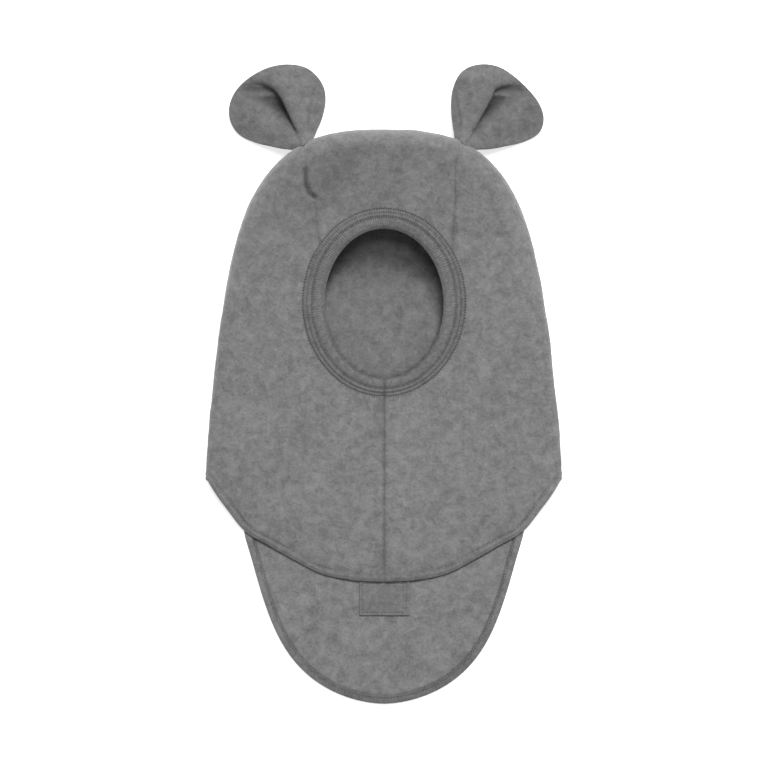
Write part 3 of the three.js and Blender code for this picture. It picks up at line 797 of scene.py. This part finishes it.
# %% [markdown]
# ## Side panels
# Each side panel starts at the chin seam, goes round the outside of the face band and up the
# crown seam, and is folded round the cheek to the back seam. Its rows run across it, so the
# fold's tight rounding gets its own share of points, spaced evenly along the cloth.

# %% Side panels
SIDE_FRONT = 112
SIDE_BACK = 46
SIDE_ROWS = (78, 128, 86)        # below the band, beside it, and above it
HEM_ROWS = 6                     # over these the hem's round edge gives way to the seam's
SIDE_TOP_GAP = 1.2
FINE = 220                       # points on which the spacing is worked out


def run_lengths(points):
    """Distance along a line from its start to each of its points."""
    return np.concatenate([[0], np.cumsum(np.linalg.norm(np.diff(points, axis=0), axis=1))])


def spaced(x_at, y_at, front, count):
    """Row of places from reach 0 to 1 whose distances along the cloth are equal."""
    turn = np.linspace(0, np.pi / 2, FINE)
    reach = np.sin(turn) if front else 1 - np.cos(turn)
    y = y_at(reach) + np.zeros(FINE)
    x = x_at(reach, y)
    points, _ = hood_surface(x, y, np.full(FINE, front))
    far = run_lengths(points)
    even = np.interp(np.linspace(0, far[-1], count), far, reach)
    y = y_at(even) + np.zeros(count)
    return x_at(even, y), y


def side_rows(side):
    """Places of one side panel from the hem up to the point at the crown."""
    chin_y = OUTER["y"] - OUTER["height"]
    band_y = seam_end(side, band_top_y)[1]
    crown = seam_end(side, fold_top_y)[1]
    corner = float(fold_x(CORNER_Y))
    shoulder = float(bib_half_width(BACK_SEAM_END_Y))
    xs, ys, fronts = [], [], []

    def add(start, front_y, back_y):
        fx, fy = spaced(lambda r, y: start * (1 - r) + fold_x(y) * r, front_y, True, SIDE_FRONT)
        bx, by = spaced(lambda r, y: fold_x(y) * (1 - r) + (back_seam_x(side, y) + SEAM_RIM) * r,
                        back_y, False, SIDE_BACK)
        xs.append(np.concatenate([fx, bx[1:]]))
        ys.append(np.concatenate([fy, by[1:]]))
        fronts.append(np.arange(SIDE_FRONT + SIDE_BACK - 1) < SIDE_FRONT)

    def level(y):
        return [lambda r: y] * 2

    for t in np.linspace(0, 1, SIDE_ROWS[0]):
        up = 0.75 * t + 0.25 * t * t

        def front_y(r, k=up):
            return (front_hem_y(r * corner) + HEM_RIM) * (1 - k) + chin_y * k

        def back_y(r, k=up):
            hem = front_hem_y(corner + (shoulder - corner) * r) + BACK_HEM_INSET * r + HEM_RIM
            return hem * (1 - k) + chin_y * k
        add(SEAM_RIM, front_y, back_y)
    top_turn = math.acos((OUTER["y"] - band_y) / OUTER["height"])
    for t in np.linspace(0, 1, SIDE_ROWS[1])[1:]:
        turn = t * top_turn
        y = OUTER["y"] - OUTER["height"] * math.cos(turn)
        rim = SEAM_RIM + (BAND_RIM - SEAM_RIM) * min(t * 20, 1)
        add(OUTER["width"] * math.sin(turn) + rim, *level(y))
    for t in np.linspace(0, 1, SIDE_ROWS[2])[1:]:
        y = band_y + (crown - SIDE_TOP_GAP - band_y) * (0.6 * t + 0.4 * math.sin(t * np.pi / 2))
        add(float(seam_x(side, y)) + SEAM_RIM, *level(y))
    return np.array(xs), np.array(ys), np.array(fronts)


for side, mirror in (("left", -1), ("right", 1)):
    x, y, front = side_rows(side)
    free = np.abs(y - front_hem_y(x)) * 0.8
    rims = np.full(x.shape, SEAM_RIM)
    rims[:HEM_ROWS] = (HEM_RIM + (SEAM_RIM - HEM_RIM) * np.arange(HEM_ROWS) / HEM_ROWS)[:, None]
    rims[SIDE_ROWS[0]:SIDE_ROWS[0] + SIDE_ROWS[1], 0] = BAND_RIM
    panel("side_panel_" + side, mirror * x, y, front, free, rims)

# %% [markdown]
# ## Face band
# The opening is bound with a strip of rib knit, folded double and stretched on with an
# overlock seam. From the hood inward it dives into the seam, swells in a cord where the seam
# allowance lies beneath, dips at the second row of stitches, and ends in a soft folded edge.
# The ribs run across the strip, about two millimetres apart.

# %% Face band
BAND_STATIONS = 1260
BAND_SIDES = 34
BAND_SECTION = {
    "at": (0.00, 0.03, 0.07, 0.13, 0.19, 0.25, 0.31, 0.37, 0.46,
          0.56, 0.63, 0.67, 0.71, 0.76, 0.82, 0.91, 0.97, 1.00),
    "in": (0.00, 0.03, 0.09, 0.17, 0.22, 0.30, 0.38, 0.45, 0.60,
          0.78, 0.90, 0.97, 1.0, 0.985, 0.85, 0.45, 0.06, 0.00),
    "up": (-0.35, 0.05, 0.55, 0.25, 0.20, 0.60, 0.10, 0.10, 0.85,
          0.75, 0.20, -0.7, -1.7, -2.6, -3.2, -3.3, -2.4, -0.4),
}
# Share across the band, half width and depth of each groove.
BAND_GROOVES = ((0.20, 0.05, 0.45), (0.42, 0.07, 0.40), (0.93, 0.03, 0.60))


def band_place(share, turn):
    """Place at an angle on the ellipse that lies a share across the band."""
    half_x, half_y, middle_y = (OUTER[key] * (1 - share) + INNER[key] * share
                                for key in ("width", "height", "y"))
    return half_x * np.cos(turn), middle_y + half_y * np.sin(turn)


def face_band_points():
    """Section carried round the two ellipses: the share across picks the place between them,
    and the height is the brow's own height plus the section's. Gives its painted shade as well."""
    turn = np.arange(BAND_STATIONS)[:, None] * 2 * np.pi / BAND_STATIONS
    at = np.arange(BAND_SIDES)[None, :] / BAND_SIDES
    across = through(BAND_SECTION, "at", "in", at) + 0 * turn
    up = through(BAND_SECTION, "at", "up", at) + 0 * turn
    x, y = band_place(across, turn)
    upper = past(up + 2.0, 0.3)
    brow = bump((np.sin(turn) - 1) * 1.6, 1.0)
    for place, width, depth in BAND_GROOVES:
        up = up - upper * depth * bump(across - place, width) * (1 - 0.9 * brow * (place < 0.3))
    rib = np.cos(RIBS * turn + 1.5 * patches(turn * 40, 0 * turn, 3.0, 5))
    body = past(across - 0.36, 0.04) * (0.25 + 0.75 * brow) * (1 + 0.6 * patches(x, y, 6, 15))
    seam = bump(across - 0.02, 0.07) + 0.8 * brow * bump(across - 0.22, 0.14)
    up = up + upper * rib * (0.26 * body + 0.20 * seam)
    up = up + upper * 0.7 * pile(x, y, 71)
    join = bump((turn - 1.5 * np.pi) * 60, 1.1)
    up = up - upper * 1.1 * join
    low = past(-(np.sin(turn) + 0.2), 0.15)
    # Painted shade: darker in the join's groove and along the lower inner edge, each rib painted light on
    # its crest and dark in its furrow, and the outer cords darker at the sides and bottom.
    shade = (1 - 0.20 * join + 0.10 * rib * (0.7 * body + seam) - 0.36 * low * bump(across - 1.0, 0.07)
             - 0.10 * (1 - brow) * bump(across - 0.12, 0.17) * (1 + 0.8 * patches(x, y, 5, 19)))
    return np.stack([x, y, crest_height(x, y) + up], axis=-1), shade.ravel()


def ring_piece(name, points, node_names, finish, shade=None):
    """Closes a section carried round a closed path."""
    around, sections = points.shape[:2]
    index = np.arange(around * sections).reshape(around, sections)
    ahead, beside = np.roll(index, -1, axis=0), np.roll(index, -1, axis=1)
    both = np.roll(ahead, -1, axis=1)
    quads = np.stack([index, ahead, both, beside], axis=-1).reshape(-1, 4)
    return new_piece(name, points.reshape(-1, 3), quads, node_names, finish, shade=shade)


points, shade = face_band_points()
band = ring_piece("face_band_rib", points, ["face_band"], rib_knit, shade=shade)

# %% [markdown]
# ## Ears
# Each ear is two plies of fleece sewn round their edge and turned, then pinched at the base as
# it is sewn into the crown seam. The pinch makes a deep crease down the middle with a puffed
# lobe on either side, the inner one leaning over the crease, and it dies out towards the rim.

# %% Ears
EAR_PLY = 1.9
EAR_RIM = 0.8
EAR_STACK = 4.1                  # two plies and the room between them
EAR_BASE = (60.3, 177.6)
EAR_NECK_REACH = 2.6
EAR_NECK_OUT = -4.6              # the neck goes this far into the crown seam
EAR_EDGE = {
    "bearing": (-66, -45, -35, -27, -20, -12, -3, 8, 22, 36, 50, 61, 70, 77, 82, 87, 93, 105, 118),
    "left": (8.3, 14.8, 25.5, 37.0, 45.0, 51.2, 56.4, 59.6, 61.9, 63.0,
            63.5, 61.7, 57.5, 52.0, 45.8, 35.5, 23.6, 13.6, 8.8),
    "right": (8.6, 12.1, 15.9, 21.6, 30.0, 42.5, 53.3, 59.3, 62.3, 61.9,
             61.9, 62.4, 61.6, 58.6, 53.7, 43.0, 28.0, 14.4, 8.6),
}
EAR_CREASE = {                   # bearing of the crease, in degrees, at each distance
    "reach": (0, 20, 30, 38, 46, 54, 61, 70),
    "left": (27, 26, 25.6, 26.0, 28.5, 36.0, 46.0, 58.0),
    "right": (31, 30.5, 30.3, 29.8, 29.5, 38.0, 47.5, 60.0),
}
EAR_FORM = {                     # over the distance from the base, heights of the front ply
    "reach": (0, 10, 20, 32, 42, 52, 64),
    "floor": (30.5, 14.5, 8.0, 4.6, 4.8, 6.0, 6.4),
    "lobe": (4.0, 7.5, 11.0, 14.0, 13.2, 9.0, 2.0),
    "steep": (2.2, 2.2, 2.3, 2.4, 2.6, 3.0, 5.0),
    "bowl": (3.0, 6.5, 9.5, 11.0, 9.5, 4.5, 1.0),
    "spread": (3.0, 3.6, 4.8, 8.5, 11.0, 13.0, 14.0),
}
EAR_FOLDS = (                    # height, start, end and width of each small fold or hollow
    (-2.2, (19, 29.5), (33, 34.5), 3.6), (1.8, (22, 36.5), (31, 35.5), 2.2),
    (-1.2, (30, 40.0), (43, 39.0), 2.6), (-0.9, (-8.4, 40), (-3.4, 14), 1.0),
    (0.4, (-11.0, 40), (-6.0, 15), 1.6), (-0.9, (20, 2.0), (30, 4.5), 3.0),
)
EAR_EDGE_SINK = 8.5
EAR_POCKET = (15.8, 25.2)        # its inner corner, out and up from the base
EAR_LOW = 3.8                    # the top comes no lower, so that the plies lie on the floor
EAR_HALF_SPAN = 36.0
EAR_COLUMNS = 200
EAR_ROWS = 118


def ear_frame(side, outward, up):
    """Distance from the ear's base, signed distance from its crease (outward is positive), and
    the direction square to the crease."""
    reach = np.hypot(outward, up)
    bearing = np.degrees(np.arctan2(outward, up))
    crease = through(EAR_CREASE, "reach", side, reach)
    ahead, back = (through(EAR_CREASE, "reach", side, reach + step) for step in (1, -1))
    swing = np.radians(ahead - back) / 2
    beside = reach * np.radians(bearing - crease) / np.sqrt(1 + (reach * swing) ** 2)
    way = np.radians(crease) + np.arctan(reach * swing)
    return reach, beside, np.cos(way), -np.sin(way)


def ear_top(side, outward, up):
    """Height of the front ply: the crease's floor, a steep lobe on the inner side, and a wide
    bowl on the outer side, each rise * s^2 / (1 + s^2), less the sinking of the outer edges."""
    reach, beside, _, _ = ear_frame(side, outward, up)
    floor_, lobe, steep, bowl, spread = (through(EAR_FORM, "reach", name, reach)
                                         for name in ("floor", "lobe", "steep", "bowl", "spread"))
    inner, outer = (np.minimum(beside, 0) / steep) ** 2, (np.maximum(beside, 0) / spread) ** 2
    height = floor_ + lobe * inner / (1 + inner) + bowl * outer / (1 + outer)
    height -= EAR_EDGE_SINK * (beside / EAR_HALF_SPAN) ** 2
    for add, start, end, width in EAR_FOLDS:
        height = height + add * near_line(outward, up, start, end, width)
    seed = 23 if side == "left" else 29
    height = height + 1.3 * pile(outward, up, seed)
    return EAR_LOW + 0.7 * np.log1p(np.exp((height - EAR_LOW) / 0.7))


def ear_painted_shade(outward, up, reach, beside):
    """Painted shade on the front ply: a painted shadow in the pocket, a triangle between the crease
    and a line that runs out from it, less dark on the ridge within it, and painted shade along
    the crease, the fold above the pocket and the lobe's seam."""
    crease = np.where(beside > -1.5, np.exp(-np.maximum(beside, 0) / 5.0), 0)
    crease *= bump(np.minimum(reach - 28, 0), 15)
    crease /= 1 + np.exp((reach - 46) / 3)
    out, over = outward - EAR_POCKET[0], up - EAR_POCKET[1]
    along = out * 0.866 + over * 0.5                  # thirty degrees up from straight out
    above = over * 0.866 - out * 0.5
    pocket = (past(above + 3.0, 1.6) / (1 + np.exp((along - 25) / 3))
              / (1 + np.exp(-(beside + 0.5) / 0.6)))
    pocket *= 0.5 + 0.5 * np.exp(-np.maximum(along, 0) / 9)
    ridge = near_line(outward, up, (21, 37.5), (31, 36.0), 2.4)
    fold = near_line(outward, up, (22, 42.0), (43, 41.0), 2.6)
    seam = near_line(outward, up, (-8.4, 40), (-3.4, 14), 1.3)
    seam += 2.6 * bump(beside - 0.4, 1.1) / (1 + np.exp((reach - 20) / 3))
    return 1 - 0.22 * crease - 0.72 * pocket * (1 - 0.6 * ridge) - 0.14 * fold - 0.10 * seam


def ear_ply(side, level):
    """Fan of places from the ear's neck out to its edge. The plies hang one under the other
    below the top surface, and thicken where it's steep so that the cloth keeps its wall. The
    lobe leans over the crease."""
    mirror = -1 if side == "left" else 1
    first, last = EAR_EDGE["bearing"][0], EAR_EDGE["bearing"][-1]
    bearing = np.linspace(first, last, EAR_COLUMNS)
    reach = through(EAR_EDGE, "bearing", side, bearing) - EAR_RIM
    middle = math.radians((first + last) / 2)
    offset = np.linspace(-EAR_NECK_REACH + EAR_RIM, EAR_NECK_REACH - EAR_RIM, EAR_COLUMNS)
    neck = np.stack([offset * math.cos(middle) + EAR_NECK_OUT * math.sin(middle),
                     -offset * math.sin(middle) + EAR_NECK_OUT * math.cos(middle)], axis=-1)
    edge = np.stack([np.sin(np.radians(bearing)), np.cos(np.radians(bearing))], axis=-1) * reach[:, None]
    t = np.linspace(0, 1, EAR_ROWS)[:, None, None]
    t = 0.75 * t + 0.25 * np.sin(t * np.pi / 2)
    place = neck * (1 - t) + edge * t
    outward, up = place[..., 0], place[..., 1]
    top = ear_top(side, outward, up)
    slope = np.hypot(ear_top(side, outward + 0.5, up) - ear_top(side, outward - 0.5, up),
                     ear_top(side, outward, up + 0.5) - ear_top(side, outward, up - 0.5))
    stack = np.minimum(EAR_STACK * np.minimum(np.sqrt(1 + slope ** 2), 1.8), np.maximum(top, 3.2) - 0.4)
    far, beside, way_out, way_up = ear_frame(side, outward, up)
    lean = 2.3 * bump(beside + 3.8, 2.8) * np.clip(far / 14, 0, 1) * np.clip((62 - far) / 14, 0, 1)
    x = mirror * (EAR_BASE[0] + outward + lean * way_out)
    y = EAR_BASE[1] + up + lean * way_up
    share = EAR_PLY / EAR_STACK
    upper, lower = ((0, share) if level else (1 - share, 1))
    faces = [np.stack([x, y, top - stack * part], axis=-1) for part in (upper, lower)]
    points, quads = closed_wall(faces[0], faces[1], np.full(x.shape, EAR_RIM))
    # Each ply's top face gets the ears' painted shade; its underside keeps its own colour.
    return points, quads, wall_shade(ear_painted_shade(outward, up, far, beside), np.ones(x.shape))


for side in ("left", "right"):
    for level, ply in ((0, "back"), (1, "front")):
        name = "ear_" + side + "_" + ply
        points, quads, shade = ear_ply(side, level)
        new_piece(name + "_fleece", points, quads, [name], ear_fleece_painted_darker,
                               shade=shade)

# %% [markdown]
# ## Patch
# A small plain patch lies at the middle of the back bib, sewn round its edge. It is one ply of
# thinner cloth with soft corners and carries nothing.

# %% Patch on the back bib
PATCH = {"left": -18.4, "right": 19.0, "top": -145.4, "bottom": -171.6, "low": 2.3, "high": 3.45}
PATCH_RIM = 0.5
PATCH_SEAM = 2.2                 # from its edge to its stitches


def patch_top(x, y):
    """Top of the patch, with its unevenness and a groove where it is sewn."""
    edge = np.minimum(np.minimum(x - PATCH["left"], PATCH["right"] - x),
                      np.minimum(y - PATCH["bottom"], PATCH["top"] - y))
    uneven = 0.6 * pile(x, y, 91) - 0.25 * bump(edge - PATCH_SEAM, 0.7)
    return np.stack([x, y, PATCH["high"] + uneven], axis=-1)


x, y = np.meshgrid(np.linspace(PATCH["left"] + PATCH_RIM, PATCH["right"] - PATCH_RIM, 130),
                   np.linspace(PATCH["bottom"] + PATCH_RIM, PATCH["top"] - PATCH_RIM, 96))
under = np.stack([x, y, np.full(x.shape, PATCH["low"])], axis=-1)
points, quads = closed_wall(patch_top(x, y), under, np.full(x.shape, PATCH_RIM))
patch = new_piece("label_patch_cloth", points, quads, ["label_patch"], patch_cloth)

# %% [markdown]
# ## Stitches
# The front hem is held by twin needles, so two rows of short stitches run side by side. The
# bib's hem shows the under side of the same seam, where the looper thread zigzags over the cut
# edge. Stitches also ring the patch and cross the band's seams. Each is a little capsule that
# sinks into the wool, with tapered ends, and each seam's stitches are one piece.

# %% Threads along lines
CAPSULE_SIDES = 6
CAPSULE = ((0.10, 0.75), (0.5, 1.0), (0.90, 0.75))    # place along the stitch, share of its radius


def even_line(points, spacing, shift=0.0):
    """Places a given spacing apart along a line in the plane, and its directions there."""
    points = np.asarray(points, float)
    far = run_lengths(points)
    at = np.arange(shift, far[-1] - spacing * 0.5, spacing)
    place, ahead, back = (np.stack([np.interp(at + step, far, points[:, k]) for k in (0, 1)], axis=-1)
                          for step in (0, 0.5, -0.5))
    way = ahead - back
    return place, way / np.linalg.norm(way, axis=1, keepdims=True)


def on_surface(surface, place, lift):
    """Points on a face over places in the plane, lifted a little."""
    points = surface(place[:, 0], place[:, 1])
    points = points[0] if isinstance(points, tuple) else points
    return points + np.array([0, 0, lift])


def stitch_mesh(starts, ends, radius):
    """Points and faces of capsules from starts to ends: three rings and two poles each."""
    way = ends - starts
    length = np.linalg.norm(way, axis=1, keepdims=True)
    way = way / length
    side = np.cross(way, [0, 0, 1.0])
    side /= np.linalg.norm(side, axis=1, keepdims=True)
    rise = np.cross(side, way)
    turn = np.arange(CAPSULE_SIDES) * 2 * np.pi / CAPSULE_SIDES
    turn = turn[None, :, None]
    circle = side[:, None, :] * np.cos(turn) + rise[:, None, :] * np.sin(turn)
    rings = [(starts + way * length * at)[:, None, :] + circle * radius * share for at, share in CAPSULE]
    points = np.concatenate(rings + [starts[:, None, :], ends[:, None, :]], axis=1)
    n, k = CAPSULE_SIDES, np.arange(CAPSULE_SIDES)
    after = (k + 1) % n
    quads = np.concatenate([np.stack([k, after, after + n, k + n], axis=-1) + r * n
                            for r in range(len(CAPSULE) - 1)])
    last = (len(CAPSULE) - 1) * n
    poles = len(CAPSULE) * n
    ends_of = np.concatenate([np.stack([after, k, np.full(n, poles)], axis=-1),
                              np.stack([last + k, last + after, np.full(n, poles + 1)], axis=-1)])
    base = (np.arange(len(starts)) * (poles + 2))[:, None, None]
    return points.reshape(-1, 3), (quads + base).reshape(-1, 4), (ends_of + base).reshape(-1, 3)


def sew(name, pairs, radius):
    """One piece of thread from pairs of start and end points."""
    starts, ends = (np.concatenate([pair[k] for pair in pairs]) for k in (0, 1))
    points, quads, ends_of = stitch_mesh(starts, ends, radius)
    return new_piece(name, points, quads, [], thread, ends_of)


def running(surface, line, length, gap, lift, shift=0.0):
    """Start and end points of a row of stitches that run along a line."""
    place, way = even_line(line, length + gap, shift)
    return [on_surface(surface, place + end * way * length / 2, lift) for end in (-1, 1)]


def crossing(surface, line, length, gap, slant, lift, shift=0.0):
    """Start and end points of threads that lie across a line, leaning by a slant."""
    place, way = even_line(line, gap, shift)
    over = np.stack([-way[:, 1], way[:, 0]], axis=-1) + way * slant
    return [on_surface(surface, place + end * over * length / 2, lift) for end in (-1, 1)]


hem_x = np.linspace(-127, 127, 1200)
front_hem = np.stack([hem_x, front_hem_y(hem_x)], axis=-1)
rows = [running(front_face, offset_line(front_hem, row), 2.1, 0.55, 0.02, 0.9 * k)
        for k, row in enumerate(STITCH_ROWS)]
sew("front_hem_stitches", rows, 0.24)

turn = np.linspace(-1, 1, 2400)
bib_y = BACK_SEAM_END_Y - 3 + (bib_bottom_y + 0.02 - BACK_SEAM_END_Y + 3) * np.cos(turn * np.pi / 2)
bib_hem = np.stack([np.sign(turn) * bib_half_width(bib_y), bib_y], axis=-1)
edge_line, middle_line, inner_line = (offset_line(bib_hem, HEM_WIDTH - back) for back in (0, 1.1, 2.2))
rows = [running(inside_face, edge_line, 1.9, 0.5, 0.06),
        running(inside_face, inner_line, 1.9, 0.5, 0.06, 1.2),
        crossing(inside_face, middle_line, 1.9, 1.5, 0.35, 0.10),
        crossing(inside_face, middle_line, 1.9, 1.5, -0.35, 0.14, 0.7)]
sew("bib_hem_looper_threads", rows, 0.22)


left, right = PATCH["left"] + PATCH_SEAM, PATCH["right"] - PATCH_SEAM
top, bottom = PATCH["top"] - PATCH_SEAM, PATCH["bottom"] + PATCH_SEAM
corners = np.array([[left, top], [left, bottom], [right, bottom], [right, top]])
rows = [running(patch_top, corners[[k, (k + 1) % 4]], 2.0, 0.6, 0.02, 1.2) for k in range(4)]
sew("patch_stitches", rows, 0.2)


def band_top(share, turn, lift):
    """Top of the face band at a share across and an angle, lifted a little."""
    x, y = band_place(share, turn)
    return np.stack([x, y, crest_height(x, y)], axis=-1) + lift * np.array([0, 0, 1.0])


turn = (np.arange(RIBS) + 0.5) * 2 * np.pi / RIBS
jitter = patches(turn * 50, 0 * turn, 2.0, 7) * 0.012
rows = [(band_top(-0.05 + jitter, turn, 0.25), band_top(0.05 + jitter, turn + 0.004, 0.36)),
        (band_top(0.37 + jitter, turn, 0.30), band_top(0.48 + jitter, turn - 0.004, 0.38)),
        (band_top(0.20 + 0 * turn, turn - 0.012, 0.0), band_top(0.20 + 0 * turn, turn + 0.012, 0.0))]
sew("band_seam_stitches", rows, 0.22)
